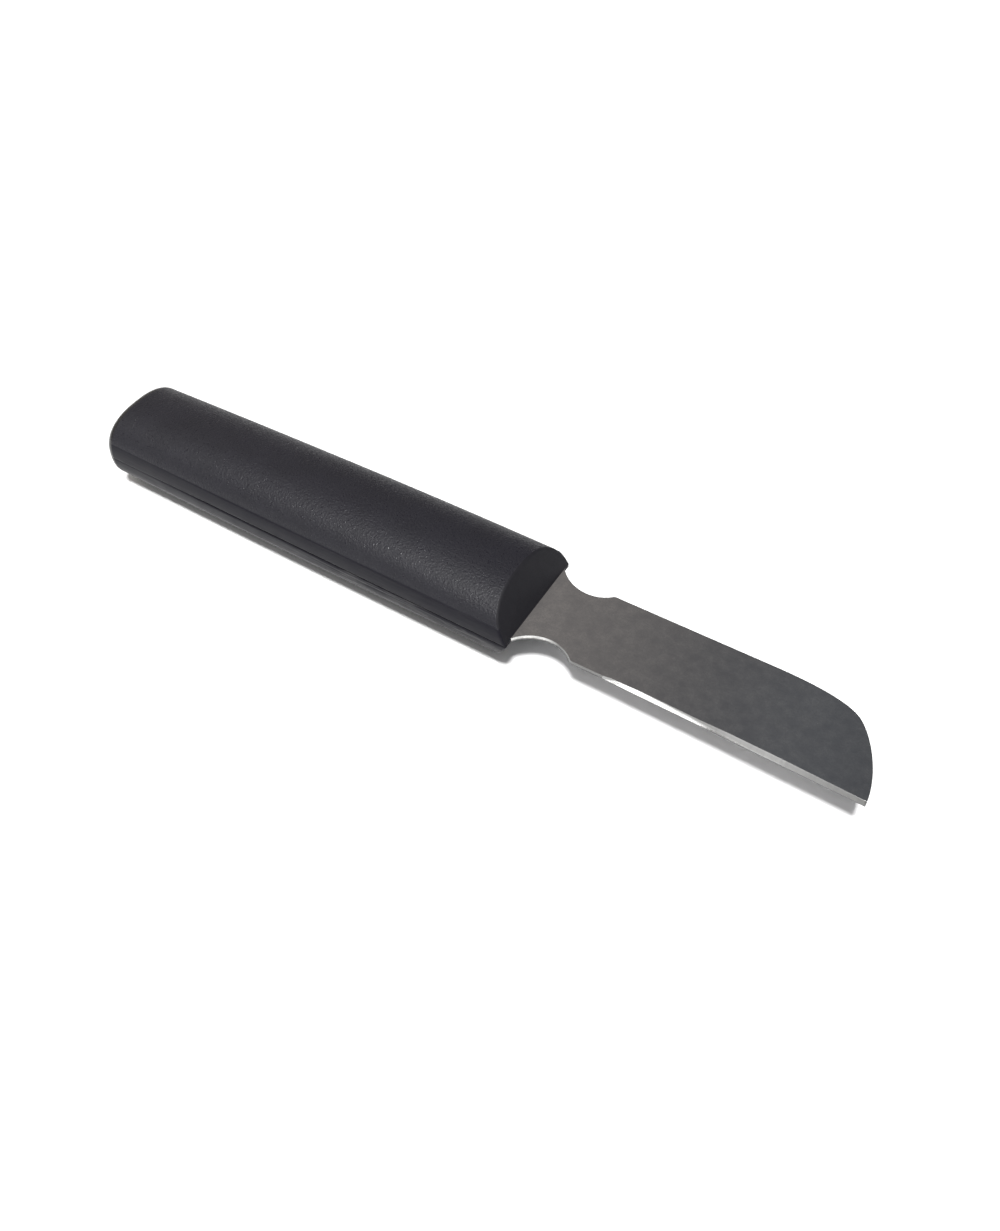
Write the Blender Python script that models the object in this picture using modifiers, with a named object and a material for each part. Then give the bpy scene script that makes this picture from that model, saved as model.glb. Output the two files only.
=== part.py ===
"""Ink knife: a steel blade whose tang is held between two moulded handle halves by three blind pins.

Frame: +X runs from the butt to the blade's tip, +Y from the cutting edge to the blade's back, +Z up.
The knife lies flat. The origin is on the surface under it, below the middle of its box.
"""
import math

import bmesh
import bpy
from mathutils import Matrix, Vector

MM = 0.001

# Driving dimensions
HANDLE_LENGTH = 103.0 * MM
HANDLE_WIDTH_FRONT = 25.0 * MM
HANDLE_WIDTH_BUTT = 22.2 * MM
HANDLE_HALF_THICK_FRONT = 7.8 * MM
HANDLE_HALF_THICK_BELLY = 9.0 * MM
HANDLE_HALF_THICK_BUTT = 8.2 * MM
BELLY_AT = 0.46  # part of the handle's length from the front to its thickest section
SECTION_POWER = 2.45  # 2 would be a plain ellipse; more makes the oval squarer
FRONT_LEAN = math.radians(30.0)  # each front face slopes back from the parting line
BUTT_ROUNDING = 2.0 * MM
PARTING_CHAMFER = 0.35 * MM

BLADE_REACH = 69.8 * MM  # from the handle's front to the tip
BLADE_THICK = 0.9 * MM
BLADE_OFFSET = 0.2 * MM  # the neck's centre line sits this far towards the blade's back
BACK_SIDE = 9.15 * MM  # from that line to the blade's back
EDGE_SIDE = 9.45 * MM  # and to its edge at the heel, behind the start of the grind
EDGE_SPREAD = 1.1 * MM  # the ground edge runs this much further from the back at the tip
NECK_WIDTH = 14.0 * MM
NOTCH_REAR_RADIUS = 8.5 * MM  # the notch's quarter towards the handle
NOTCH_RADIUS = 7.0 * MM  # the notch's quarter towards the tip
NOTCH_AT = 6.7 * MM  # from the handle's front to the middle of the two notches
NOTCH_CORNER = 1.2 * MM  # rounding where a notch meets the blade's back or edge
GRIND_START = 18.6 * MM
GRIND_WIDTH = 0.6 * MM
GRIND_LAND = 0.15 * MM  # thickness left at the cutting edge
FALL_LENGTH = 24.5 * MM  # the back begins to fall this far before the tip
FALL_EASE = 8.5 * MM  # how far the fall's start keeps the back's own direction
FALL_SHOULDER = (6.85 * MM, 3.15 * MM)  # the tight shoulder's distance before the tip and below the back
FALL_INTO = (2.8 * MM, 2.3 * MM)  # how the curve runs into the shoulder, forward and down
FALL_OUT_OF = (3.4 * MM, 3.0 * MM)  # and how it runs out of it
TIP_UPRIGHT = 6.0 * MM  # how far the blunt end stays nearly upright over the tip's corner

SHOULDER_WIDTH = 21.0 * MM
SHOULDER_LENGTH = 6.0 * MM
TANG_WIDTH = 13.0 * MM
TANG_LENGTH = 88.0 * MM
TANG_CORNER = 2.5 * MM  # radius behind each shoulder and at the tang's end
SHOULDER_BEVEL = 0.5 * MM

WALL = 2.4 * MM
FRONT_WALL = 6.5 * MM
BUTT_WALL = 3.5 * MM
RIB_THICK = 1.8 * MM
RIB_PITCH = 16.0 * MM
RIB_COUNT = 5
PIN_RIBS = {"front": 1, "middle": 3, "rear": 5}
PIN_RADIUS = 2.0 * MM
PIN_LENGTH = 10.0 * MM
BOSS_RADIUS = 4.5 * MM
GAP = 0.3 * MM  # left between pieces that touch

# Derived places
FRONT_X = (HANDLE_LENGTH - BLADE_REACH) / 2
PARTING_Z = HANDLE_HALF_THICK_BELLY
MARGIN = 5.0 * MM  # how far a cutter reaches past what it cuts
ARC_STEPS = 24
CHAMBER_STEPS = 12

PARTS = "ink_knife"
CUTTERS = "cutters"


def clear_scene():
    for item in list(bpy.data.objects):
        bpy.data.objects.remove(item, do_unlink=True)
    for name in (PARTS, CUTTERS):
        group = bpy.data.collections.new(name)
        bpy.context.scene.collection.children.link(group)


def make_material(name, colour, roughness, metallic):
    material = bpy.data.materials.new(name)
    material.use_nodes = True
    shader = material.node_tree.nodes["Principled BSDF"]
    shader.inputs["Base Color"].default_value = (*colour, 1.0)
    shader.inputs["Roughness"].default_value = roughness
    shader.inputs["Metallic"].default_value = metallic
    material.diffuse_color = (*colour, 1.0)
    return material


def add_part(name, mesh, material):
    part = bpy.data.objects.new(name, mesh)
    bpy.data.collections[PARTS].objects.link(part)
    mesh.materials.clear()
    mesh.materials.append(material)
    mesh.shade_smooth()
    mesh.set_sharp_from_angle(angle=math.radians(30))
    return part


def add_cutter(name, mesh):
    cutter = bpy.data.objects.new(name, mesh)
    bpy.data.collections[CUTTERS].objects.link(cutter)
    cutter.hide_render = True
    cutter.display_type = "WIRE"
    return cutter


def finish_mesh(name, shape):
    bmesh.ops.recalc_face_normals(shape, faces=shape.faces)
    mesh = bpy.data.meshes.new(name)
    shape.to_mesh(mesh)
    shape.free()
    return mesh


def combine(target, other, operation):
    change = target.modifiers.new(other.name, "BOOLEAN")
    change.object = other
    change.operation = operation
    change.solver = "EXACT"


def add_loft(shape, loops):
    """Join a row of equal closed loops into one closed body."""
    rings = [[shape.verts.new(point) for point in loop] for loop in loops]
    count = len(rings[0])
    for first, second in zip(rings, rings[1:]):
        for i in range(count):
            j = (i + 1) % count
            shape.faces.new((first[i], first[j], second[j], second[i]))
    shape.faces.new(rings[0])
    shape.faces.new(rings[-1])


def add_box(shape, low, high):
    size = Vector(high) - Vector(low)
    centre = (Vector(high) + Vector(low)) / 2
    place = Matrix.Translation(centre) @ Matrix.Diagonal((*size, 1.0))
    bmesh.ops.create_cube(shape, size=1.0, matrix=place)


def add_cylinder(shape, x, y, z_low, z_high, radius, segments=24):
    place = Matrix.Translation((x, y, (z_low + z_high) / 2))
    bmesh.ops.create_cone(shape, cap_ends=True, segments=segments, radius1=radius, radius2=radius,
                          depth=z_high - z_low, matrix=place)


# The handle's outer form

def half_width(back):
    """Half the handle's width at a distance back from its front."""
    t = min(max(back / HANDLE_LENGTH, 0.0), 1.0)
    return (HANDLE_WIDTH_FRONT + (HANDLE_WIDTH_BUTT - HANDLE_WIDTH_FRONT) * t) / 2


def half_thickness(back):
    """Distance from the parting plane to the crown, which falls away from the belly to both ends."""
    t = min(max(back / HANDLE_LENGTH, 0.0), 1.0)
    if t < BELLY_AT:
        end, share = HANDLE_HALF_THICK_FRONT, 1 - t / BELLY_AT
    else:
        end, share = HANDLE_HALF_THICK_BUTT, (t - BELLY_AT) / (1 - BELLY_AT)
    return HANDLE_HALF_THICK_BELLY - (HANDLE_HALF_THICK_BELLY - end) * share ** 2


def crown(x, side, width, thick, start, steps):
    """Half of a squared oval over the parting plane, from +Y to -Y, beginning at height start."""
    first = math.asin((start / thick) ** (SECTION_POWER / 2))
    points = []
    for i in range(steps + 1):
        angle = first + (math.pi - 2 * first) * i / steps
        y = width * math.copysign(abs(math.cos(angle)) ** (2 / SECTION_POWER), math.cos(angle))
        z = thick * math.sin(angle) ** (2 / SECTION_POWER)
        points.append((x, y, PARTING_Z + side * z))
    return points


def outer_loop(back, inset, side):
    """One closed section of a handle half, with the small chamfer along its parting edges."""
    width = half_width(back) - inset
    thick = half_thickness(back) - inset
    rim = GAP / 2
    x = FRONT_X - back
    edge = width - PARTING_CHAMFER
    low = PARTING_Z + side * rim
    arc = crown(x, side, width, thick, rim + PARTING_CHAMFER, ARC_STEPS)
    return [(x, edge, low), *arc, (x, -edge, low)]


def outer_form(side):
    """The half's whole outside: evenly spaced sections, then a quarter round at the butt."""
    straight = HANDLE_LENGTH - BUTT_ROUNDING
    sections = [(-MARGIN, 0.0)]
    spans = 5
    belly = BELLY_AT * HANDLE_LENGTH
    sections += [(belly * i / spans, 0.0) for i in range(spans + 1)]
    sections += [(belly + (straight - belly) * i / spans, 0.0) for i in range(1, spans + 1)]
    round_steps = 4
    for i in range(1, round_steps + 1):
        angle = math.pi / 2 * i / round_steps
        sections.append((straight + BUTT_ROUNDING * math.sin(angle), BUTT_ROUNDING * (1 - math.cos(angle))))
    shape = bmesh.new()
    add_loft(shape, [outer_loop(back, inset, side) for back, inset in sections])
    return shape


# What is cut out of a half or added inside it

def rib_back(index):
    return index * RIB_PITCH


def chamber_loop(back, side):
    x = FRONT_X - back
    width = half_width(back) - WALL
    arc = crown(x, side, width, half_thickness(back) - WALL, GAP / 2, CHAMBER_STEPS)
    low = PARTING_Z - side * MARGIN
    return [(x, width, low), *arc, (x, -width, low)]


def chambers(side):
    """The hollow between the ribs, one body for each bay."""
    starts = [FRONT_WALL] + [rib_back(i) + RIB_THICK / 2 for i in range(1, RIB_COUNT + 1)]
    ends = [rib_back(i) - RIB_THICK / 2 for i in range(1, RIB_COUNT + 1)] + [HANDLE_LENGTH - BUTT_WALL]
    shape = bmesh.new()
    for start, end in zip(starts, ends):
        add_loft(shape, [chamber_loop(start, side), chamber_loop(end, side)])
    return shape


def ordered(first, second):
    return min(first, second), max(first, second)


def bosses(side):
    """Round bosses on the ribs that take the pins."""
    shape = bmesh.new()
    for index in PIN_RIBS.values():
        top = half_thickness(rib_back(index)) - WALL + WALL / 3
        low, high = ordered(PARTING_Z + side * BLADE_THICK / 2, PARTING_Z + side * top)
        add_cylinder(shape, FRONT_X - rib_back(index), BLADE_OFFSET, low, high, BOSS_RADIUS)
    return shape


def sockets(side):
    """Blind holes in the bosses, a gap wider and deeper than the pins."""
    shape = bmesh.new()
    for index in PIN_RIBS.values():
        low, high = ordered(PARTING_Z - side * MARGIN, PARTING_Z + side * (PIN_LENGTH / 2 + GAP))
        add_cylinder(shape, FRONT_X - rib_back(index), BLADE_OFFSET, low, high, PIN_RADIUS + GAP)
    return shape


def add_slot(shape, side, front, back, width):
    reach = PARTING_Z + side * (BLADE_THICK / 2 + GAP)
    low, high = ordered(PARTING_Z - side * MARGIN, reach)
    half = width / 2 + GAP
    add_box(shape, (FRONT_X - back - GAP, BLADE_OFFSET - half, low), (FRONT_X - front, BLADE_OFFSET + half, high))


def shoulder_slot(side):
    shape = bmesh.new()
    add_slot(shape, side, -2 * MARGIN, SHOULDER_LENGTH + TANG_CORNER, SHOULDER_WIDTH)
    return shape


def tang_slot(side):
    shape = bmesh.new()
    add_slot(shape, side, 0.0, TANG_LENGTH, TANG_WIDTH)
    return shape


def front_slope(side):
    """A block whose rear face is the half's sloping front face."""
    shape = bmesh.new()
    reach = 8 * MARGIN
    add_box(shape, (0.0, -reach, -reach), (reach, reach, reach))
    place = Matrix.Translation((FRONT_X, 0.0, PARTING_Z)) @ Matrix.Rotation(-side * FRONT_LEAN, 4, "Y")
    bmesh.ops.transform(shape, matrix=place, verts=shape.verts)
    return shape


def handle_half(name, side, material):
    half = add_part(name, finish_mesh(name, outer_form(side)), material)
    steps = (
        ("chambers", chambers, "DIFFERENCE"),
        ("bosses", bosses, "UNION"),
        ("shoulder_slot", shoulder_slot, "DIFFERENCE"),
        ("tang_slot", tang_slot, "DIFFERENCE"),
        ("sockets", sockets, "DIFFERENCE"),
        ("front_slope", front_slope, "DIFFERENCE"),
    )
    for label, build, operation in steps:
        cutter_name = f"{name}_{label}"
        combine(half, add_cutter(cutter_name, finish_mesh(cutter_name, build(side))), operation)


# The blade

def arc(centre, radius, start, end, steps):
    """Points on a circle, with angles in degrees."""
    points = []
    for i in range(steps + 1):
        angle = math.radians(start + (end - start) * i / steps)
        points.append((centre[0] + radius * math.cos(angle), centre[1] + radius * math.sin(angle)))
    return points


def bezier(a, b, c, d, steps):
    """Points on one cubic curve, without its first point."""
    points = []
    for i in range(1, steps + 1):
        t = i / steps
        u = 1 - t
        weights = (u ** 3, 3 * u * u * t, 3 * u * t * t, t ** 3)
        points.append(tuple(sum(w * p[k] for w, p in zip(weights, (a, b, c, d))) for k in (0, 1)))
    return points


def notch(side):
    """The notch from the handle's shoulder to the blade's straight back or edge, about the centre line."""
    shoulder = SHOULDER_WIDTH / 2
    bottom = NECK_WIDTH / 2
    rear = (NOTCH_AT, bottom + NOTCH_REAR_RADIUS)
    front = (NOTCH_AT, bottom + NOTCH_RADIUS)
    start = 180 + math.degrees(math.asin((rear[1] - shoulder) / NOTCH_REAR_RADIUS))
    corner_y = side - NOTCH_CORNER
    corner_x = front[0] + math.sqrt((NOTCH_RADIUS + NOTCH_CORNER) ** 2 - (front[1] - corner_y) ** 2)
    touch = math.degrees(math.atan2(front[1] - corner_y, corner_x - front[0]))
    outline = arc(rear, NOTCH_REAR_RADIUS, start, 270, 8)
    outline += arc(front, NOTCH_RADIUS, 270, 360 - touch, 7)[1:]
    outline += arc((corner_x, corner_y), NOTCH_CORNER, 180 - touch, 90, 4)[1:]
    return outline


def tip():
    """The back's fall to the tip: a long easy curve, a tight shoulder, then a nearly square end."""
    start = (BLADE_REACH - FALL_LENGTH, BACK_SIDE)
    shoulder = (BLADE_REACH - FALL_SHOULDER[0], BACK_SIDE - FALL_SHOULDER[1])
    end = (BLADE_REACH, -EDGE_SIDE - EDGE_SPREAD)
    held = (start[0] + FALL_EASE, BACK_SIDE)
    before = (shoulder[0] - FALL_INTO[0], shoulder[1] + FALL_INTO[1])
    after = (shoulder[0] + FALL_OUT_OF[0], shoulder[1] - FALL_OUT_OF[1])
    upright = (BLADE_REACH, end[1] + TIP_UPRIGHT)
    return [start] + bezier(start, held, before, shoulder, 9) + bezier(shoulder, after, upright, end, 9)


def tang():
    """The part inside the handle, from the back side's shoulder round to the edge side's."""
    shoulder = SHOULDER_WIDTH / 2
    half = TANG_WIDTH / 2
    corner = TANG_CORNER
    step = -SHOULDER_LENGTH
    end = -TANG_LENGTH
    outline = [(step + SHOULDER_BEVEL, shoulder), (step, shoulder - SHOULDER_BEVEL)]
    outline += arc((step - corner, half + corner), corner, 0, -90, 4)
    outline += arc((end + corner, half - corner), corner, 90, 180, 4)
    return outline


def blade_outline():
    back_side = notch(BACK_SIDE) + tip()
    heel = (GRIND_START, -EDGE_SIDE)
    edge_notch = [(x, -y) for x, y in reversed(notch(EDGE_SIDE))]
    tang_back = tang()
    tang_edge = [(x, -y) for x, y in tang_back]
    return back_side + [heel] + edge_notch + tang_edge + list(reversed(tang_back))


def blade_blank():
    """The stamping, with its pin holes, before the edge is ground."""
    outline = bpy.data.curves.new("blade", "CURVE")
    outline.dimensions = "2D"
    outline.fill_mode = "BOTH"
    outline.extrude = BLADE_THICK / 2
    holes = [arc((-rib_back(index), 0.0), PIN_RADIUS + GAP, 0, 360, 24)[:-1] for index in PIN_RIBS.values()]
    for points in [blade_outline(), *holes]:
        spline = outline.splines.new("POLY")
        spline.points.add(len(points) - 1)
        spline.use_cyclic_u = True
        for point, (x, y) in zip(spline.points, points):
            point.co = (FRONT_X + x, BLADE_OFFSET + y, 0.0, 1.0)
    flat = bpy.data.objects.new("blade_outline", outline)
    bpy.data.collections[CUTTERS].objects.link(flat)
    bpy.context.view_layer.update()
    mesh = bpy.data.meshes.new_from_object(flat.evaluated_get(bpy.context.evaluated_depsgraph_get()))
    bpy.data.objects.remove(flat, do_unlink=True)
    shape = bmesh.new()
    shape.from_mesh(mesh)
    bmesh.ops.remove_doubles(shape, verts=shape.verts, dist=0.01 * MM)
    bmesh.ops.translate(shape, verts=shape.verts, vec=(0.0, 0.0, PARTING_Z))
    bpy.data.meshes.remove(mesh)
    return finish_mesh("blade", shape)


def grind():
    """A block that takes the bevel off the upper side of the cutting edge."""
    slope = math.atan2(BLADE_THICK - GRIND_LAND, GRIND_WIDTH)
    spread = math.atan2(EDGE_SPREAD, BLADE_REACH - GRIND_START)
    shape = bmesh.new()
    size = 2 * MARGIN
    add_box(shape, (0.0, -size, -size), (BLADE_REACH, size, 0.0))
    turn = Matrix.Rotation(-spread, 4, "Z") @ Matrix.Rotation(math.pi + slope, 4, "X")
    corner = (FRONT_X + GRIND_START, BLADE_OFFSET - EDGE_SIDE + GRIND_WIDTH, PARTING_Z + BLADE_THICK / 2)
    bmesh.ops.transform(shape, matrix=Matrix.Translation(corner) @ turn, verts=shape.verts)
    return shape


def blade(material):
    part = add_part("blade", blade_blank(), material)
    combine(part, add_cutter("blade_grind", finish_mesh("blade_grind", grind())), "DIFFERENCE")


def tang_pins(material):
    for place, index in PIN_RIBS.items():
        name = f"tang_pin_{place}"
        shape = bmesh.new()
        half = PIN_LENGTH / 2
        add_cylinder(shape, 0.0, 0.0, -half, half, PIN_RADIUS, segments=20)
        pin = add_part(name, finish_mesh(name, shape), material)
        pin.location = (FRONT_X - rib_back(index), BLADE_OFFSET, PARTING_Z)
        ends = pin.modifiers.new("ends", "BEVEL")
        ends.width = 0.4 * MM
        ends.segments = 1
        ends.limit_method = "ANGLE"
        ends.angle_limit = math.radians(60)


def main():
    clear_scene()
    plastic = make_material("black_plastic", (0.022, 0.022, 0.025), 0.5, 0.0)
    lower_plastic = make_material("black_plastic_lower", (0.022, 0.022, 0.025), 0.45, 0.0)
    steel = make_material("blade_steel", (0.5, 0.49, 0.48), 0.35, 1.0)
    pin_steel = make_material("pin_steel", (0.6, 0.6, 0.6), 0.3, 1.0)
    handle_half("handle_upper_half", 1, plastic)
    handle_half("handle_lower_half", -1, lower_plastic)
    blade(steel)
    tang_pins(pin_steel)


main()
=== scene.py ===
"""Looks of the ink knife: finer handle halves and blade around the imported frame, their materials,
a pale floor, soft light and a camera.

Frame: +X runs from the butt to the blade's tip, +Y from the cutting edge to the back, +Z up, in metres.
"""

import math

import bmesh
import bpy
from mathutils import Matrix, Vector, noise


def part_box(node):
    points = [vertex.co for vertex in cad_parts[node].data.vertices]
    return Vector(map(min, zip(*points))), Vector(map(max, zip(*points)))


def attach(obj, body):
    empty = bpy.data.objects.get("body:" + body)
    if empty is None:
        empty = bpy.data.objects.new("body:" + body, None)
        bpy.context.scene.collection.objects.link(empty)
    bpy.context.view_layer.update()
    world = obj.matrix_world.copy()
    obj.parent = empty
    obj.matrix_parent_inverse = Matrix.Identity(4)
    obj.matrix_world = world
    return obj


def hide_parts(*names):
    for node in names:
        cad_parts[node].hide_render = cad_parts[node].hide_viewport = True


MM = 0.001

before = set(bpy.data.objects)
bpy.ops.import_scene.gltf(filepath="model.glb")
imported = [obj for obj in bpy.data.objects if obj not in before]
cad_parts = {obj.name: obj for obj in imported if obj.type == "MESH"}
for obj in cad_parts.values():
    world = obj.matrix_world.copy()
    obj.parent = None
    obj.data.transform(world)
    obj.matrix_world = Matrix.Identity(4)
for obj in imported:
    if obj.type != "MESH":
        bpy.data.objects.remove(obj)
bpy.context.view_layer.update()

# Places taken from the frame
upper_low, upper_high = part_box("handle_upper_half")
lower_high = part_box("handle_lower_half")[1]
blade_low, blade_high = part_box("blade")
pin_boxes = [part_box(f"tang_pin_{place}") for place in ("front", "middle", "rear")]

PARTING_Z = (upper_low.z + lower_high.z) / 2
FRONT_LEAN = math.radians(30.0)  # each front face slopes back from the parting line
FRONT_X = upper_high.x + (upper_low.z - PARTING_Z) * math.tan(FRONT_LEAN)
BUTT_X = upper_low.x
HANDLE_LENGTH = FRONT_X - BUTT_X

# Handle form: half widths and half thicknesses follow the frame's largest section.
# The handle is 25.0 mm wide in front and 22.2 mm at the butt. Each half is 7.8 mm thick in front, 9.0 mm at
# its belly and 8.2 mm at the butt.
HALF_WIDTH_FRONT = (upper_high.y - upper_low.y) / 2
HALF_WIDTH_BUTT = HALF_WIDTH_FRONT * 22.2 / 25.0
HALF_THICK_BELLY = upper_high.z - PARTING_Z
HALF_THICK_FRONT = HALF_THICK_BELLY * 7.8 / 9.0
HALF_THICK_BUTT = HALF_THICK_BELLY * 8.2 / 9.0
BELLY_AT = 0.46  # part of the handle's length from the front to its thickest section
SECTION_POWER = 2.45  # 2 would be a plain ellipse; more makes the oval squarer
BUTT_ROUNDING = 2.0 * MM
FRONT_ROUNDING = 0.42 * MM
FRONT_STEPS = 4
LEAN_FADES = 14.0 * MM  # the sections turn upright over this length behind the front

SEAM = 0.02 * MM  # half the hairline gap between the halves
GROOVE_DEPTH = 0.42 * MM
GROOVE_LIP = 0.42 * MM  # height of the lip's upper end over the parting plane
LIP_CURVE = [(0.20 * MM, -0.13 * MM), (0.29 * MM, -0.04 * MM)]  # height, and distance out from the band
BAND_HEIGHT = 3.45 * MM  # the smooth band beside the parting line
BAND_PROUD = 0.13 * MM
BAND_STEP = [(-0.07 * MM, 0.85), (0.0, 0.35)]  # its upper edge: height, and share of its proudness
BAND_STEP_LOW = 0.15 * MM
BAND_STEP_HIGH = 0.10 * MM
RELIEF = [(60 * MM, 1.0), (92 * MM, 0.12)]  # groove and band grow shallow towards the butt
BAND_STEPS = 20
CROWN_STEPS = 56
BUTT_STEPS = 10
STATION_STEP = 0.5 * MM
LEVEL_STEP = 0.3 * MM  # heights closer than this share one section where the front leans

# Marks beside the parting line, with spans as (distance back from the front, strength)
MARKS_END = 0.3 * MM  # they stop this far under the band's upper edge
STREAK_SPAN = [(3 * MM, 0.0), (7 * MM, 1.0), (34 * MM, 1.0), (52 * MM, 0.0)]
STREAK_LENGTH = 22 * MM
STREAK_WIDTH = 0.42 * MM
STREAK_DEPTH = 0.075 * MM
DENT_SPAN = [(5 * MM, 0.0), (7.5 * MM, 1.0), (14 * MM, 1.0), (17 * MM, 0.0)]
DENT_LENGTH = 1.5 * MM
DENT_WIDTH = 0.8 * MM
DENT_DEPTH = 0.11 * MM

# Blade form
BLADE_OFFSET = (pin_boxes[0][0].y + pin_boxes[0][1].y) / 2
HALF_BLADE = (blade_high.z - blade_low.z) / 2
BLADE_REACH = blade_high.x - FRONT_X
BACK_SIDE = 9.15 * MM  # from the neck's centre line to the blade's back
EDGE_SIDE = 9.45 * MM  # and to its edge at the heel, behind the start of the grind
EDGE_SPREAD = 1.1 * MM  # the ground edge runs this much further from the back at the tip
SHOULDER_WIDTH = 21.0 * MM
NECK_WIDTH = 14.0 * MM
NOTCH_REAR_RADIUS = 8.5 * MM  # the notch's quarter towards the handle
NOTCH_RADIUS = 7.0 * MM  # the notch's quarter towards the tip
NOTCH_AT = 6.7 * MM  # from the handle's front to the middle of the two notches
NOTCH_CORNER = 1.2 * MM
FALL_LENGTH = 24.5 * MM  # the back begins to fall this far before the tip
FALL_EASE = 8.5 * MM  # how far the fall's start keeps the back's own direction
FALL_SHOULDER = (6.85 * MM, 3.15 * MM)  # the tight shoulder's distance before the tip and below the back
FALL_INTO = (2.8 * MM, 2.3 * MM)  # how the curve runs into the shoulder, forward and down
FALL_OUT_OF = (3.4 * MM, 3.0 * MM)  # and how it runs out of it
TIP_UPRIGHT = 6.0 * MM  # how far the blunt end stays nearly upright over the tip's corner
SHOULDER_LENGTH = 6.0 * MM
TANG_WIDTH = 13.0 * MM
TANG_END = FRONT_X - blade_low.x
TANG_CORNER = 2.5 * MM
EDGE_ROUNDING = 0.06 * MM
EDGE_STEPS = 110
GRIND_START = 18.6 * MM
GRIND_LAND = 0.20 * MM  # thickness left at the cutting edge
GRIND_HOLLOW = 0.015 * MM  # how far the bevel is hollowed, as a round wheel leaves it
GRIND_WIDTHS = [(GRIND_START, 0.0), (20.6 * MM, 0.34 * MM), (27 * MM, 0.56 * MM), (37 * MM, 0.56 * MM),
                (45 * MM, 0.74 * MM), (51 * MM, 0.74 * MM), (BLADE_REACH, 0.50 * MM)]
BEVEL_STEPS = 6
HIGHLIGHT_RISE = 3.2 * MM  # the bevel's painted highlight climbs to its top over this length
HIGHLIGHT_END = 53.4 * MM  # and ends at this distance from the handle's front
HIGHLIGHT_FALL = 26.0 * MM  # after coming down over this length
BLADE_CLEARANCE = 0.04 * MM
PIN_CLEARANCE = 0.05 * MM

# Camera
VIEW_AZIMUTH = math.radians(31.13)
VIEW_ELEVATION = math.radians(49.53)
VIEW_DISTANCE = 222.5 * MM
VIEW_TARGET = Vector((FRONT_X - 5.18 * MM, -6.13 * MM, PARTING_Z))
VIEW_LENS = 33.63


def smoothstep(value):
    value = min(max(value, 0.0), 1.0)
    return value * value * (3 - 2 * value)


def ramp(points, value):
    """Amount at a place, eased between the entries of a short list of (place, amount)."""
    if value <= points[0][0]:
        return points[0][1]
    for (x0, y0), (x1, y1) in zip(points, points[1:]):
        if value <= x1:
            return y0 + (y1 - y0) * smoothstep((value - x0) / (x1 - x0))
    return points[-1][1]


def new_object(name, mesh, materials):
    piece = bpy.data.objects.new(name, mesh)
    bpy.context.scene.collection.objects.link(piece)
    for material in materials:
        mesh.materials.append(material)
    return piece


def finish_shape(name, shape, sharp_degrees):
    """A mesh from the shape, smooth but for edges sharper than the angle."""
    bmesh.ops.recalc_face_normals(shape, faces=shape.faces)
    mesh = bpy.data.meshes.new(name)
    shape.to_mesh(mesh)
    shape.free()
    mesh.shade_smooth()
    mesh.set_sharp_from_angle(angle=math.radians(sharp_degrees))
    return mesh


# Handle halves

CROWN, BAND, FRONT, BUTT = range(4)  # material slots of a handle half


def half_width(back):
    t = min(max(back / HANDLE_LENGTH, 0.0), 1.0)
    return HALF_WIDTH_FRONT + (HALF_WIDTH_BUTT - HALF_WIDTH_FRONT) * t


def half_thickness(back):
    t = min(max(back / HANDLE_LENGTH, 0.0), 1.0)
    if t < BELLY_AT:
        end, share = HALF_THICK_FRONT, 1 - t / BELLY_AT
    else:
        end, share = HALF_THICK_BUTT, (t - BELLY_AT) / (1 - BELLY_AT)
    return HALF_THICK_BELLY - (HALF_THICK_BELLY - end) * share ** 2


def height_angle(height, thick):
    """The oval's angle at a height over the parting plane."""
    return math.asin(min(height / thick, 1.0) ** (SECTION_POWER / 2))


def oval(angle, width, thick):
    """Point and outward direction on the squared oval, for an angle from 0 (+Y) to pi (-Y)."""
    c, s = math.cos(angle), max(math.sin(angle), 1e-9)
    y = width * math.copysign(abs(c) ** (2 / SECTION_POWER), c)
    z = thick * s ** (2 / SECTION_POWER)
    out = Vector((math.copysign(abs(y / width) ** (SECTION_POWER - 1), y) / width,
                  (z / thick) ** (SECTION_POWER - 1) / thick))
    return Vector((y, z)), out.normalized()


def side_heights():
    """(height, offset outward, is band) from the groove's bottom to the foot of the crown."""
    span = BAND_HEIGHT - BAND_STEP_LOW - GROOVE_LIP
    rows = [(SEAM, -GROOVE_DEPTH, True)]
    rows += [(height, outward + BAND_PROUD, True) for height, outward in LIP_CURVE]
    rows += [(GROOVE_LIP + span * i / BAND_STEPS, BAND_PROUD, True) for i in range(BAND_STEPS + 1)]
    rows += [(BAND_HEIGHT + height, share * BAND_PROUD, True) for height, share in BAND_STEP]
    rows += [(BAND_HEIGHT + BAND_STEP_HIGH, 0.0, False)]
    return rows


def seam_marks(back, height, side, sign):
    """Rough streaks and dents that the joining of the halves left in the lower half's band."""
    top = BAND_HEIGHT - MARKS_END
    if side > 0 or height < GROOVE_LIP or height > top:
        return 0.0
    across = smoothstep((top - height) / (0.6 * MM)) * smoothstep((height - GROOVE_LIP) / (0.2 * MM))
    streak = noise.noise(Vector((back / STREAK_LENGTH, height / STREAK_WIDTH, 3.0 + 2.0 * sign)))
    streaks = STREAK_DEPTH * streak * ramp(STREAK_SPAN, back) * across
    lump = noise.noise(Vector((back / DENT_LENGTH, height / DENT_WIDTH, 11.0)))
    near_lip = smoothstep((2.2 * MM - height) / (1.2 * MM))
    return streaks + DENT_DEPTH * lump * ramp(DENT_SPAN, back) * near_lip * across


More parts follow.
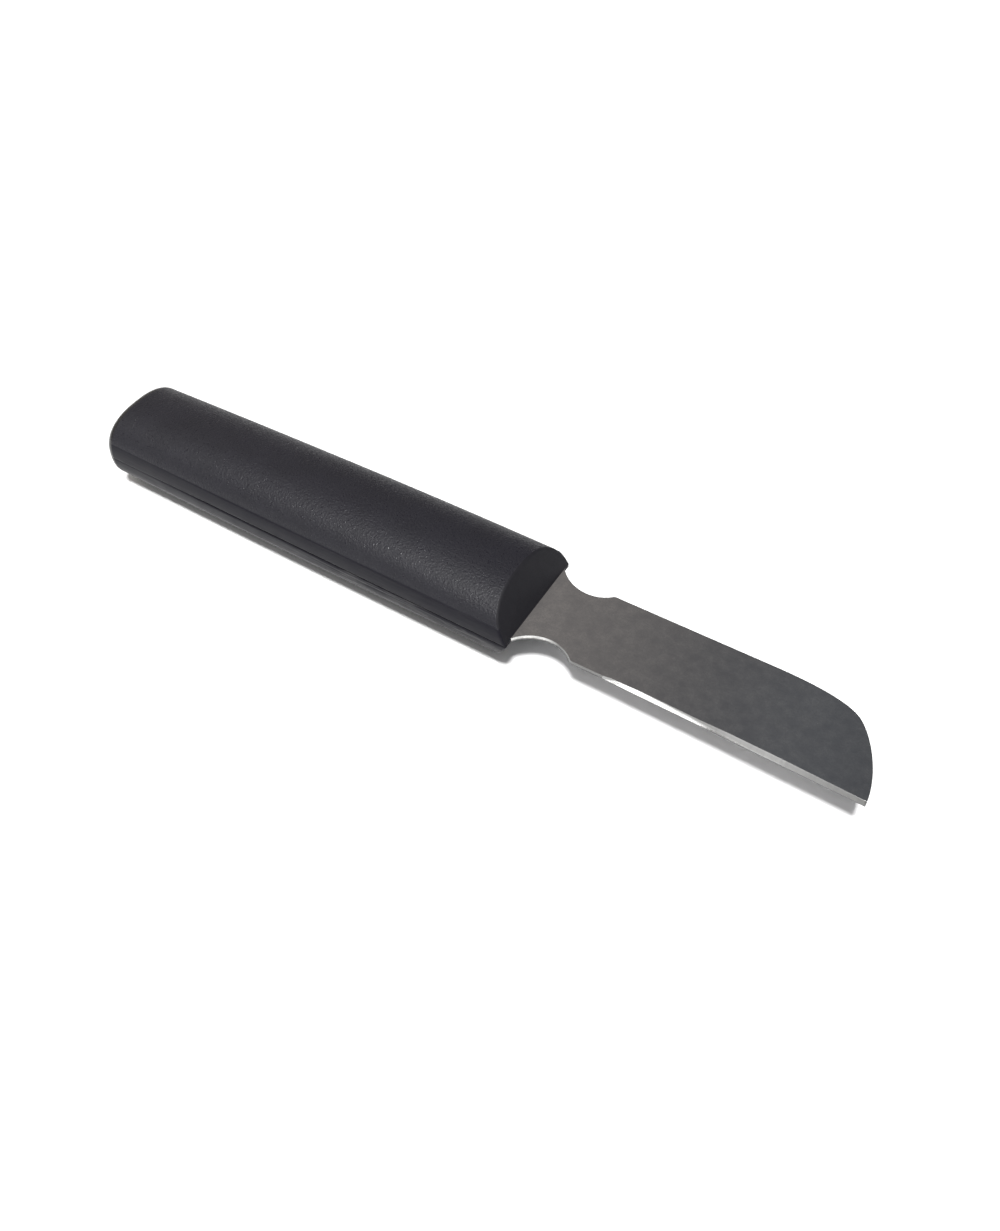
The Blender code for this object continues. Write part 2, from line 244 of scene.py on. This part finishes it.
def half_section(back, inset, side, groove_lift, slot):
    """One closed section: slot, parting face, groove, band and crown, then the same mirrored."""
    slot_half, slot_height = slot
    base = min(back, HANDLE_LENGTH)
    width, thick = half_width(base), half_thickness(base)
    relief = ramp(RELIEF, base)
    rows = side_heights()
    angles = [height_angle(height, thick) for height, _, _ in rows]
    low = SEAM + groove_lift
    ceiling_half = slot_half if slot_height > 0 else 0.6 * slot_half
    points = [(ceiling_half, SEAM + slot_height), (slot_half, low)]
    kinds = [BAND, BAND]

    def on_oval(angle, offset, kind):
        place, out = oval(angle, width, thick)
        place = place + out * (offset - inset)
        points.append((place.x, place.y))
        kinds.append(kind)

    for sign in (1, -1):
        for (height, offset, band), angle in list(zip(rows, angles))[::sign]:
            turned = angle if sign > 0 else math.pi - angle
            extra = seam_marks(base, height, side, sign)
            on_oval(turned, offset * relief + extra, BAND if band else CROWN)
            if height == SEAM:
                points[-1] = (points[-1][0], low)
        if sign > 0:
            first = angles[-1]
            for i in range(1, CROWN_STEPS):
                on_oval(first + (math.pi - 2 * first) * i / CROWN_STEPS, 0.0, CROWN)
    points += [(-slot_half, low), (-ceiling_half, SEAM + slot_height)]
    kinds += [BAND, BAND]
    return points, kinds


def slot_at(back):
    """Half width and height of the recess for the blade's shoulders and tang."""
    height = HALF_BLADE + BLADE_CLEARANCE - SEAM
    if back < SHOULDER_LENGTH + TANG_CORNER:
        return SHOULDER_WIDTH / 2 + BLADE_CLEARANCE, height
    if back < TANG_END + BLADE_CLEARANCE:
        return TANG_WIDTH / 2 + BLADE_CLEARANCE, height
    return TANG_WIDTH / 2 + BLADE_CLEARANCE, 0.0


def stations():
    """(distance back, inset, groove lift, is butt) of every section."""
    rows = []
    for i in range(FRONT_STEPS):
        angle = math.pi / 2 * i / FRONT_STEPS
        rows.append((FRONT_ROUNDING * (1 - math.cos(angle)), FRONT_ROUNDING * (1 - math.sin(angle)),
                     FRONT_ROUNDING * (1 - math.sin(angle)), False))
    back = FRONT_ROUNDING
    straight = HANDLE_LENGTH - BUTT_ROUNDING
    count = round((straight - back) / STATION_STEP)
    rows += [(back + (straight - back) * i / count, 0.0, 0.0, False) for i in range(count + 1)]
    for i in range(1, BUTT_STEPS + 1):
        angle = math.pi / 2 * i / BUTT_STEPS
        inset = BUTT_ROUNDING * (1 - math.cos(angle))
        rows.append((straight + BUTT_ROUNDING * math.sin(angle), inset, 0.0, True))
    return rows


def leaning_section(back, inset, side, lift, lean):
    """A section that leans back with the front face: its higher points belong to sections further back."""
    slot = slot_at(back)
    points, kinds = half_section(back, inset, side, lift, slot)
    if lean > 0:
        sections = {}
        for index, (_, z) in enumerate(points):
            level = round(z / LEVEL_STEP)
            if level not in sections:
                sections[level] = half_section(back + z * lean, inset, side, lift, slot)[0]
            points[index] = sections[level][index]
    return points, kinds


def handle_half(name, side, materials):
    """One half of the handle, solid but for the tang's slot; side is 1 for the upper half, else -1."""
    shape = bmesh.new()
    rings, kinds_of = [], []
    for back, inset, lift, butt in stations():
        lean = math.tan(FRONT_LEAN) * (1 - smoothstep(back / LEAN_FADES))
        points, kinds = leaning_section(back, inset, side, lift, lean)
        ring = []
        for index, (y, z) in enumerate(points):
            in_slot = index < 2 or index >= len(points) - 2
            y = y + BLADE_OFFSET if in_slot else y
            ring.append(shape.verts.new((FRONT_X - back - z * lean, y, PARTING_Z + side * z)))
        rings.append(ring)
        kinds_of.append((kinds, butt))
    count = len(rings[0])
    for k in range(len(rings) - 1):
        kinds, _ = kinds_of[k]
        butt = kinds_of[k + 1][1]
        crown = FRONT if k < FRONT_STEPS else CROWN
        for i in range(count):
            j = (i + 1) % count
            face = shape.faces.new((rings[k][i], rings[k][j], rings[k + 1][j], rings[k + 1][i]))
            kind = BAND if BAND in (kinds[i], kinds[j]) else crown
            face.material_index = BUTT if butt else kind
    shape.faces.new(rings[0]).material_index = FRONT
    shape.faces.new(rings[-1]).material_index = BUTT
    return new_object(name, finish_shape(name, shape, 40), materials)


# Blade

FLAT, BEVEL, SIDE = range(3)  # material slots of the blade


def arc(centre, radius, start, end, steps):
    """Points on a circle, with angles in degrees."""
    points = []
    for i in range(steps + 1):
        angle = math.radians(start + (end - start) * i / steps)
        points.append((centre[0] + radius * math.cos(angle), centre[1] + radius * math.sin(angle)))
    return points


def bezier(a, b, c, d, steps):
    """Points on one cubic curve, without its first point."""
    points = []
    for i in range(1, steps + 1):
        t = i / steps
        u = 1 - t
        weights = (u ** 3, 3 * u * u * t, 3 * u * t * t, t ** 3)
        points.append(tuple(sum(w * p[k] for w, p in zip(weights, (a, b, c, d))) for k in (0, 1)))
    return points


def notch(side):
    """The notch from the handle's shoulder to the blade's straight back or edge, about the centre line."""
    shoulder = SHOULDER_WIDTH / 2
    bottom = NECK_WIDTH / 2
    rear = (NOTCH_AT, bottom + NOTCH_REAR_RADIUS)
    front = (NOTCH_AT, bottom + NOTCH_RADIUS)
    start = 180 + math.degrees(math.asin((rear[1] - shoulder) / NOTCH_REAR_RADIUS))
    corner_y = side - NOTCH_CORNER
    corner_x = front[0] + math.sqrt((NOTCH_RADIUS + NOTCH_CORNER) ** 2 - (front[1] - corner_y) ** 2)
    touch = math.degrees(math.atan2(front[1] - corner_y, corner_x - front[0]))
    outline = arc(rear, NOTCH_REAR_RADIUS, start, 270, 24)
    outline += arc(front, NOTCH_RADIUS, 270, 360 - touch, 20)[1:]
    outline += arc((corner_x, corner_y), NOTCH_CORNER, 180 - touch, 90, 8)[1:]
    return outline


def tip():
    """The back's fall to the tip: a long easy curve, a tight shoulder, then a nearly square end."""
    start = (BLADE_REACH - FALL_LENGTH, BACK_SIDE)
    shoulder = (BLADE_REACH - FALL_SHOULDER[0], BACK_SIDE - FALL_SHOULDER[1])
    end = (BLADE_REACH, -EDGE_SIDE - EDGE_SPREAD)
    held = (start[0] + FALL_EASE, BACK_SIDE)
    before = (shoulder[0] - FALL_INTO[0], shoulder[1] + FALL_INTO[1])
    after = (shoulder[0] + FALL_OUT_OF[0], shoulder[1] - FALL_OUT_OF[1])
    upright = (BLADE_REACH, end[1] + TIP_UPRIGHT)
    return [start] + bezier(start, held, before, shoulder, 24) + bezier(shoulder, after, upright, end, 28)


def tang():
    """Half the outline of the part inside the handle, from one shoulder to the tang's end."""
    shoulder = SHOULDER_WIDTH / 2
    half = TANG_WIDTH / 2
    bevel = 0.5 * MM
    outline = [(bevel - SHOULDER_LENGTH, shoulder), (-SHOULDER_LENGTH, shoulder - bevel)]
    outline += arc((-SHOULDER_LENGTH - TANG_CORNER, half + TANG_CORNER), TANG_CORNER, 0, -90, 6)
    outline += arc((TANG_CORNER - TANG_END, half - TANG_CORNER), TANG_CORNER, 90, 180, 6)
    return outline


def edge_line(x):
    """The cutting edge's place across the blade: straight at the heel, then running away from the back."""
    share = max(x - GRIND_START, 0.0) / (BLADE_REACH - GRIND_START)
    return -EDGE_SIDE - EDGE_SPREAD * share


def blade_outline():
    """Closed clockwise outline about the blade's centre line, and the numbers of its ground points."""
    back_side = notch(BACK_SIDE) + tip()
    corner = back_side.pop()
    near_notch = notch(EDGE_SIDE)
    edge_end = near_notch[-1][0]
    places = [corner[0] + (edge_end - corner[0]) * i / EDGE_STEPS for i in range(EDGE_STEPS)]
    edge = [(x, edge_line(x)) for x in places]
    edge_notch = [(x, -y) for x, y in reversed(near_notch)]
    tang_edge = [(x, -y) for x, y in tang()]
    outline = back_side + edge + edge_notch + tang_edge + list(reversed(tang()))
    ground = [len(back_side) + i for i, x in enumerate(places) if x > GRIND_START]
    return outline, set(ground)


def edge_profile(width):
    """(inset, height) rows up the blade's side; a bevel of no width leaves a plain upright side."""
    t, r = HALF_BLADE, EDGE_ROUNDING
    hollow = GRIND_HOLLOW * min(width / (0.5 * MM), 1.0)
    low, high = -t + GRIND_LAND, t - 0.3 * r
    rows = [(r, -t), (0.3 * r, -t + 0.3 * r), (0.0, low)]
    for step in range(1, BEVEL_STEPS):
        u = step / BEVEL_STEPS
        rows.append((width * u + 4 * hollow * u * (1 - u), low + (high - low) * u))
    return rows + [(width + 0.3 * r, high), (width + r + 0.3 * r, t)]


def blade(name, materials):
    """The blade as rings of its outline, each set in from the edge and raised as the edge's profile says."""
    outline, ground = blade_outline()
    count = len(outline)
    shape = bmesh.new()
    widths = [ramp(GRIND_WIDTHS, x) if i in ground else 0.0 for i, (x, _) in enumerate(outline)]
    profiles = [edge_profile(width) for width in widths]
    rings = []
    for k in range(len(profiles[0])):
        ring = []
        for i, point in enumerate(outline):
            here = Vector(point)
            before = (here - Vector(outline[i - 1])).normalized()
            after = (Vector(outline[(i + 1) % count]) - here).normalized()
            out = Vector((-before.y - after.y, before.x + after.x)).normalized()
            reach = 1 / max(out.dot(Vector((-after.y, after.x))), 0.5)
            inset, z = profiles[i][k]
            place = here - out * reach * inset
            ring.append(shape.verts.new((FRONT_X + place.x, BLADE_OFFSET + place.y, PARTING_Z + z)))
        rings.append(ring)
    for k in range(len(rings) - 1):
        for i in range(count):
            j = (i + 1) % count
            face = shape.faces.new((rings[k][i], rings[k][j], rings[k + 1][j], rings[k + 1][i]))
            bevel = i in ground and j in ground and 2 <= k <= 1 + BEVEL_STEPS
            face.material_index = BEVEL if bevel else SIDE
    shape.faces.new(rings[0]).material_index = FLAT
    shape.faces.new(rings[-1]).material_index = FLAT
    mesh = finish_shape(name, shape, 20)
    for face in mesh.polygons:
        face.use_smooth = face.material_index != FLAT
    return new_object(name, mesh, materials)


def cut_pin_holes(piece, clearance):
    """Takes the pins' holes out of a piece."""
    shape = bmesh.new()
    for low, high in pin_boxes:
        centre = (low + high) / 2
        radius = (high.x - low.x) / 2 + clearance
        bmesh.ops.create_cone(shape, cap_ends=True, segments=32, radius1=radius, radius2=radius,
                              depth=high.z - low.z + 2 * clearance, matrix=Matrix.Translation(centre))
    cutter_mesh = bpy.data.meshes.new("pin_holes")
    shape.to_mesh(cutter_mesh)
    shape.free()
    cutter = bpy.data.objects.new("pin_holes", cutter_mesh)
    bpy.context.scene.collection.objects.link(cutter)
    cut = piece.modifiers.new("pin_holes", "BOOLEAN")
    cut.object = cutter
    cut.operation = "DIFFERENCE"
    cut.solver = "EXACT"
    bpy.context.view_layer.update()
    result = bpy.data.meshes.new_from_object(piece.evaluated_get(bpy.context.evaluated_depsgraph_get()))
    piece.modifiers.clear()
    old = piece.data
    piece.data = result
    result.name = piece.name
    bpy.data.meshes.remove(old)
    bpy.data.objects.remove(cutter, do_unlink=True)


# Materials

class Tree:
    """Short-hand for building a node tree."""

    def __init__(self, tree):
        self.tree = tree

    def add(self, kind, **settings):
        node = self.tree.nodes.new(kind)
        for key, value in settings.items():
            setattr(node, key, value)
        return node

    def link(self, output, target):
        self.tree.links.new(output, target)

    def feed(self, target, value):
        """Links a socket to another node's output, or sets it to a constant."""
        if hasattr(value, "is_linked"):
            self.link(value, target)
        else:
            target.default_value = value

    def remap(self, value, low, high, to_low, to_high):
        node = self.add("ShaderNodeMapRange")
        self.link(value, node.inputs["Value"])
        for key, amount in (("From Min", low), ("From Max", high), ("To Min", to_low), ("To Max", to_high)):
            node.inputs[key].default_value = amount
        return node.outputs["Result"]

    def math(self, operation, a, b):
        node = self.add("ShaderNodeMath", operation=operation)
        self.feed(node.inputs[0], a)
        self.feed(node.inputs[1], b)
        return node.outputs["Value"]

    def mix(self, factor, a, b):
        node = self.add("ShaderNodeMix", data_type="RGBA")
        self.feed(node.inputs["Factor"], factor)
        self.feed(node.inputs["A"], a)
        self.feed(node.inputs["B"], b)
        return node.outputs["Result"]


class Material(Tree):
    """One material, with textures placed in the piece's own metres."""

    def __init__(self, name):
        self.material = bpy.data.materials.new(name)
        self.material.use_nodes = True
        super().__init__(self.material.node_tree)
        self.shader = self.tree.nodes["Principled BSDF"]
        self.place = self.add("ShaderNodeTexCoord").outputs["Object"]

    def axes(self):
        node = self.add("ShaderNodeSeparateXYZ")
        self.link(self.place, node.inputs[0])
        return node.outputs

    def scaled(self, x, y, z):
        node = self.add("ShaderNodeMapping")
        self.link(self.place, node.inputs["Vector"])
        node.inputs["Scale"].default_value = (x, y, z)
        return node.outputs["Vector"]

    def noise(self, size, detail=2.0, rough=0.5, vector=None):
        """Noise whose features are about size metres across."""
        node = self.add("ShaderNodeTexNoise")
        self.link(vector or self.place, node.inputs["Vector"])
        node.inputs["Scale"].default_value = 1 / size
        node.inputs["Detail"].default_value = detail
        node.inputs["Roughness"].default_value = rough
        return node.outputs["Fac"]

    def cells(self, size):
        """Distance from the middles of scattered cells about size metres across."""
        node = self.add("ShaderNodeTexVoronoi")
        self.link(self.place, node.inputs["Vector"])
        node.inputs["Scale"].default_value = 1 / size
        return node.outputs["Distance"]

    def bump(self, height, distance, strength):
        node = self.add("ShaderNodeBump")
        self.link(height, node.inputs["Height"])
        node.inputs["Distance"].default_value = distance
        node.inputs["Strength"].default_value = strength
        return node.outputs["Normal"]

    def set(self, **sockets):
        """Sets the shader's sockets, named with _ for each space, and gives the finished material."""
        for key, value in sockets.items():
            self.feed(self.shader.inputs[key.replace("_", " ")], value)
        return self.material


def grained_plastic(name):
    """Moulded crown of the handle: black with a fine raised grain whose tops catch the light."""
    n = Material(name)
    grain = n.noise(0.34 * MM, 3.0, 0.65)
    pits = n.cells(0.48 * MM)
    clouds = n.noise(9 * MM, 3.0, 0.55)
    height = n.math("ADD", grain, n.math("MULTIPLY", pits, 0.5))
    normal = n.bump(height, 0.11 * MM, 1.0)
    cloudy = n.remap(clouds, 0.35, 0.65, 0, 1)
    tone = n.mix(cloudy, (0.0050, 0.0048, 0.0086, 1), (0.0068, 0.0065, 0.0110, 1))
    tops = n.remap(n.noise(0.30 * MM, 1.0), 0.58, 0.70, 0.52, 0.24)
    return n.set(Base_Color=tone, Roughness=tops, Normal=normal, Specular_IOR_Level=0.36)


def smooth_plastic(name):
    """Band beside the parting line: smooth, with fine lines along it, and on the lower half towards the
    front pale streaks that are a painted reflection of the bright floor."""
    n = Material(name)
    lines = n.noise(0.40 * MM, 3.0, 0.6, n.scaled(0.03, 1.0, 1.0))
    smudge = n.noise(3 * MM, 3.0, 0.5)
    normal = n.bump(lines, 0.010 * MM, 0.35)
    tone = n.mix(smudge, (0.0054, 0.0052, 0.0084, 1), (0.0074, 0.0071, 0.0110, 1))
    axes = n.axes()
    # painted reflection: pale streaks in the band's colour, kept to the lower half that faces the bright
    # floor, and towards the front
    painted_reflection_streaks = n.remap(n.noise(0.55 * MM, 3.0, 0.6, n.scaled(0.07, 1.0, 1.0)), 0.50, 0.66, 0.0, 1.0)
    low_side = n.remap(axes["Z"], PARTING_Z - 0.3 * MM, PARTING_Z + 0.3 * MM, 1.0, 0.12)
    forward = n.remap(axes["X"], FRONT_X - 62 * MM, FRONT_X - 40 * MM, 0.0, 1.0)
    painted_reflection_streaks = n.math("MULTIPLY", painted_reflection_streaks, n.math("MULTIPLY", low_side, forward))
    tone = n.mix(painted_reflection_streaks, tone, (0.046, 0.045, 0.047, 1))
    rough = n.math("ADD", n.remap(lines, 0.3, 0.7, 0.42, 0.54), n.remap(smudge, 0.3, 0.7, -0.04, 0.04))
    return n.set(Base_Color=tone, Roughness=rough, Normal=normal, Specular_IOR_Level=0.17)


def front_plastic(name):
    """Flat front face: dead matt, with the faint marks of its mould."""
    n = Material(name)
    grain = n.noise(0.16 * MM, 3.0, 0.65)
    marks = n.noise(0.6 * MM, 2.0, 0.5, n.scaled(1.0, 0.12, 1.0))
    normal = n.bump(n.math("ADD", grain, n.math("MULTIPLY", marks, 0.6)), 0.02 * MM, 0.7)
    tone = n.mix(n.noise(2.5 * MM, 3.0), (0.0080, 0.0077, 0.0100, 1), (0.0115, 0.0110, 0.0135, 1))
    rough = n.remap(grain, 0.3, 0.7, 0.55, 0.75)
    return n.set(Base_Color=tone, Roughness=rough, Normal=normal, Specular_IOR_Level=0.2)


def butt_plastic(name):
    """Rounded butt: the smoothest, glossiest part of the moulding."""
    n = Material(name)
    smudge = n.noise(2.5 * MM, 3.0, 0.55)
    normal = n.bump(n.noise(0.35 * MM, 2.0), 0.006 * MM, 0.6)
    tone = n.mix(smudge, (0.0080, 0.0075, 0.0085, 1), (0.0110, 0.0105, 0.0110, 1))
    return n.set(Base_Color=tone, Roughness=n.remap(smudge, 0.3, 0.7, 0.18, 0.30), Normal=normal)


def satin_steel(name):
    """Flat of the blade: satin steel with a fine grain, faintly clouded by handling."""
    n = Material(name)
    clouds = n.noise(2.2 * MM, 5.0, 0.62)
    fine = n.noise(0.42 * MM, 3.0, 0.65)
    specks = n.remap(n.cells(3.4 * MM), 0.0, 0.05, 1.0, 0.0)
    normal = n.bump(n.math("ADD", fine, n.math("MULTIPLY", clouds, 0.8)), 0.0022 * MM, 0.5)
    tone = n.mix(n.remap(clouds, 0.34, 0.66, 0, 1), (0.455, 0.455, 0.47, 1), (0.585, 0.58, 0.58, 1))
    tone = n.mix(n.remap(fine, 0.35, 0.65, 0, 0.6), tone, (0.44, 0.44, 0.45, 1))
    tone = n.mix(n.math("MULTIPLY", specks, 0.5), tone, (0.80, 0.80, 0.80, 1))
    rough = n.math("ADD", n.remap(clouds, 0.34, 0.66, 0.17, 0.19), n.remap(fine, 0.3, 0.7, -0.01, 0.02))
    return n.set(Base_Color=tone, Metallic=1.0, Roughness=rough, Normal=normal)


def ground_steel(name):
    """Bevel: grinding lines square to the edge. From the heel past the middle it carries a painted
    highlight, a bright and smoother patch that begins and ends along the lower edge, and it is dull grey
    above and beyond it."""
    n = Material(name)
    lines = n.noise(0.09 * MM, 2.0, 0.6, n.scaled(1.0, 0.05, 0.05))
    normal = n.bump(lines, 0.003 * MM, 0.6)
    axes = n.axes()
    x = n.math("SUBTRACT", axes["X"], FRONT_X)
    rises = n.math("DIVIDE", n.math("SUBTRACT", x, GRIND_START), HIGHLIGHT_RISE)
    falls = n.math("DIVIDE", n.math("SUBTRACT", HIGHLIGHT_END, x), HIGHLIGHT_FALL)
    height = n.math("SUBTRACT", axes["Z"], PARTING_Z - HALF_BLADE)
    height = n.math("DIVIDE", height, 2 * HALF_BLADE)
    patch = n.math("SUBTRACT", n.math("MINIMUM", rises, falls), height)
    patch = n.math("ADD", patch, n.remap(n.noise(1.8 * MM, 2.0), 0.3, 0.7, -0.03, 0.03))
    # painted highlight: the patch's colour is bright steel, the rest of the bevel a darker grey
    painted_highlight = n.remap(patch, -0.20, 0.16, 0.0, 1.0)
    bright = n.mix(lines, (0.84, 0.84, 0.83, 1), (0.94, 0.94, 0.92, 1))
    dull = n.mix(lines, (0.30, 0.30, 0.30, 1), (0.40, 0.40, 0.39, 1))
    rough = n.remap(painted_highlight, 0.0, 1.0, 0.36, 0.17)
    rough = n.math("ADD", rough, n.remap(lines, 0.3, 0.7, -0.03, 0.06))
    return n.set(Base_Color=n.mix(painted_highlight, dull, bright), Metallic=1.0, Roughness=rough, Normal=normal)


def sheared_steel(name):
    """Stamped side of the blade: smoother above, rougher and torn below with painted shade darkening its
    colour, and a painted highlight in the notches.
    """
    n = Material(name)
    lines = n.noise(0.12 * MM, 2.0, 0.6, n.scaled(1.0, 1.0, 0.1))
    normal = n.bump(lines, 0.008 * MM, 0.7)
    axes = n.axes()
    # painted highlight: the wall's colour is made bright, with paler patches, in the notches, and a plain
    # dark grey past them
    along = n.remap(axes["X"], FRONT_X + 4.8 * MM, FRONT_X + 8.2 * MM, 0.0, 1.0)
    highlight_patches = n.remap(n.noise(2.4 * MM, 2.0), 0.42, 0.60, 0.0, 0.5)
    notch_highlight = n.mix(highlight_patches, (0.74, 0.74, 0.72, 1), (0.42, 0.42, 0.41, 1))
    tone = n.mix(along, notch_highlight, (0.20, 0.20, 0.195, 1))
    # painted shade: the wall's lower part is darkened in colour, and it is also rougher, like the torn zone
    # of a stamped edge
    ragged = n.remap(n.noise(0.5 * MM, 2.0), 0.3, 0.7, -0.06 * MM, 0.06 * MM)
    shaded_torn_edge = n.math("ADD", axes["Z"], ragged)
    shaded_torn_zone = n.remap(shaded_torn_edge, PARTING_Z - 0.22 * MM, PARTING_Z - 0.02 * MM, 0.85, 0.0)
    tone = n.mix(shaded_torn_zone, tone, (0.10, 0.10, 0.10, 1))
    tone = n.mix(n.remap(lines, 0.3, 0.7, 0.0, 0.3), tone, (0.14, 0.14, 0.14, 1))
    rough = n.math("ADD", n.remap(lines, 0.3, 0.7, 0.30, 0.46), n.math("MULTIPLY", shaded_torn_zone, 0.2))
    return n.set(Base_Color=tone, Metallic=1.0, Roughness=rough, Normal=normal)


def pin_steel(name):
    """Drawn steel of the pins, with faint lines along them."""
    n = Material(name)
    lines = n.noise(0.15 * MM, 2.0, 0.5, n.scaled(1.0, 1.0, 0.08))
    normal = n.bump(lines, 0.005 * MM, 0.6)
    tone = n.mix(lines, (0.52, 0.52, 0.52, 1), (0.66, 0.66, 0.65, 1))
    rough = n.remap(lines, 0.3, 0.7, 0.25, 0.38)
    return n.set(Base_Color=tone, Metallic=1.0, Roughness=rough, Normal=normal)


# Stage

def floor():
    """A pale plane under the knife, far wider than the picture."""
    shape = bmesh.new()
    bmesh.ops.create_grid(shape, x_segments=1, y_segments=1, size=5.0)
    mesh = bpy.data.meshes.new("floor")
    shape.to_mesh(mesh)
    shape.free()
    n = Material("floor_paper")
    tone = n.mix(n.noise(0.12, 2.0), (0.86, 0.86, 0.86, 1), (0.88, 0.88, 0.88, 1))
    paper = n.set(Base_Color=tone, Roughness=0.9, Specular_IOR_Level=0.1)
    piece = new_object("floor", mesh, [paper])


def area_light(name, towards, distance, width, height, radiance):
    """A soft panel that looks at the knife from a direction, with the brightness it shows to it."""
    light = bpy.data.lights.new(name, "AREA")
    light.shape = "RECTANGLE"
    light.size = width
    light.size_y = height
    light.energy = radiance * math.pi * width * height
    lamp = bpy.data.objects.new(name, light)
    direction = Vector(towards).normalized()
    lamp.location = direction * distance
    lamp.rotation_euler = (-direction).to_track_quat("-Z", "Y").to_euler()
    bpy.context.scene.collection.objects.link(lamp)


def sun_light(name, towards, degrees, strength):
    """The main light: even over the whole floor, and as wide as a studio softbox looks from the knife."""
    light = bpy.data.lights.new(name, "SUN")
    light.angle = math.radians(degrees)
    light.energy = strength
    lamp = bpy.data.objects.new(name, light)
    lamp.rotation_euler = Vector(towards).to_track_quat("Z", "Y").to_euler()
    bpy.context.scene.collection.objects.link(lamp)


def surroundings():
    """Room light: warm and bright on the butt's side, cooler and dimmer on the tip's side, with one paler
    stretch between, and a pale sweep low down on the near side."""
    world = bpy.data.worlds.new("room")
    bpy.context.scene.world = world
    world.use_nodes = True
    n = Tree(world.node_tree)
    n.tree.nodes.clear()
    split = n.add("ShaderNodeSeparateXYZ")
    n.link(n.add("ShaderNodeTexCoord").outputs["Generated"], split.inputs[0])
    room = n.add("ShaderNodeValToRGB")
    shades = room.color_ramp
    shades.elements[0].position = 0.15
    shades.elements[0].color = (0.56, 0.515, 0.47, 1)
    shades.elements[1].position = 1.0
    shades.elements[1].color = (0.090, 0.095, 0.105, 1)
    for place, colour in ((0.33, (0.330, 0.308, 0.292, 1)), (0.37, (0.285, 0.268, 0.257, 1)),
                          (0.40, (0.222, 0.213, 0.209, 1)), (0.43, (0.142, 0.143, 0.149, 1)),
                          (0.465, (0.190, 0.197, 0.208, 1)), (0.50, (0.112, 0.118, 0.128, 1))):
        shades.elements.new(place).color = colour
    n.link(n.remap(split.outputs["X"], -1.0, 1.0, 0.0, 1.0), room.inputs["Fac"])
    low_down = n.remap(split.outputs["Z"], 0.22, 0.42, 1.0, 0.0)
    near_side = n.remap(split.outputs["Y"], -0.2, 0.3, 1.0, 0.0)
    sweep = n.math("MULTIPLY", low_down, near_side)
    lit = n.add("ShaderNodeBackground")
    n.feed(lit.inputs["Color"], n.mix(sweep, room.outputs["Color"], (0.38, 0.375, 0.36, 1)))
    seen = n.add("ShaderNodeBackground")
    n.feed(seen.inputs["Color"], (0.95, 0.95, 0.95, 1))
    choose = n.add("ShaderNodeMixShader")
    n.link(n.add("ShaderNodeLightPath").outputs["Is Camera Ray"], choose.inputs["Fac"])
    n.link(lit.outputs[0], choose.inputs[1])
    n.link(seen.outputs[0], choose.inputs[2])
    n.link(choose.outputs[0], n.add("ShaderNodeOutputWorld").inputs["Surface"])


def camera():
    across, up = math.cos(VIEW_ELEVATION), math.sin(VIEW_ELEVATION)
    back = Vector((math.sin(VIEW_AZIMUTH) * across, -math.cos(VIEW_AZIMUTH) * across, up))
    data = bpy.data.cameras.new("camera")
    data.sensor_width = 36.0
    data.lens = VIEW_LENS
    data.clip_start = 0.01
    eye = bpy.data.objects.new("camera", data)
    eye.location = VIEW_TARGET + back * VIEW_DISTANCE
    eye.rotation_euler = (-back).to_track_quat("-Z", "Y").to_euler()
    bpy.context.scene.collection.objects.link(eye)
    bpy.context.scene.camera = eye


def main():
    bpy.context.scene.view_settings.view_transform = "Standard"
    plastics = [grained_plastic("plastic_grained"), smooth_plastic("plastic_smooth"),
                front_plastic("plastic_front"), butt_plastic("plastic_butt")]
    steels = [satin_steel("steel_satin"), ground_steel("steel_ground"), sheared_steel("steel_sheared")]
    halves = (("upper_shell", "handle_upper_half", 1), ("lower_shell", "handle_lower_half", -1))
    for name, node, side_sign in halves:
        piece = handle_half(name, side_sign, plastics)
        cut_pin_holes(piece, PIN_CLEARANCE)
        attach(piece, "root")
        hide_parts(node)
    piece = blade("ground_blade", steels)
    cut_pin_holes(piece, PIN_CLEARANCE)
    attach(piece, "root")
    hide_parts("blade")
    pins = pin_steel("steel_pin")
    for place in ("front", "middle", "rear"):
        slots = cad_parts[f"tang_pin_{place}"].material_slots
        slots[0].material = pins
    floor()
    sun_light("overhead", (0.105, -0.320, 0.942), 9.0, 4.6)
    area_light("front_fill", (-0.30, -0.88, 0.31), 1.4, 0.52, 0.66, 2.0)
    area_light("ceiling_fill", (0.15, -0.35, 0.92), 1.8, 1.2, 1.0, 1.4)
    surroundings()
    camera()


main()
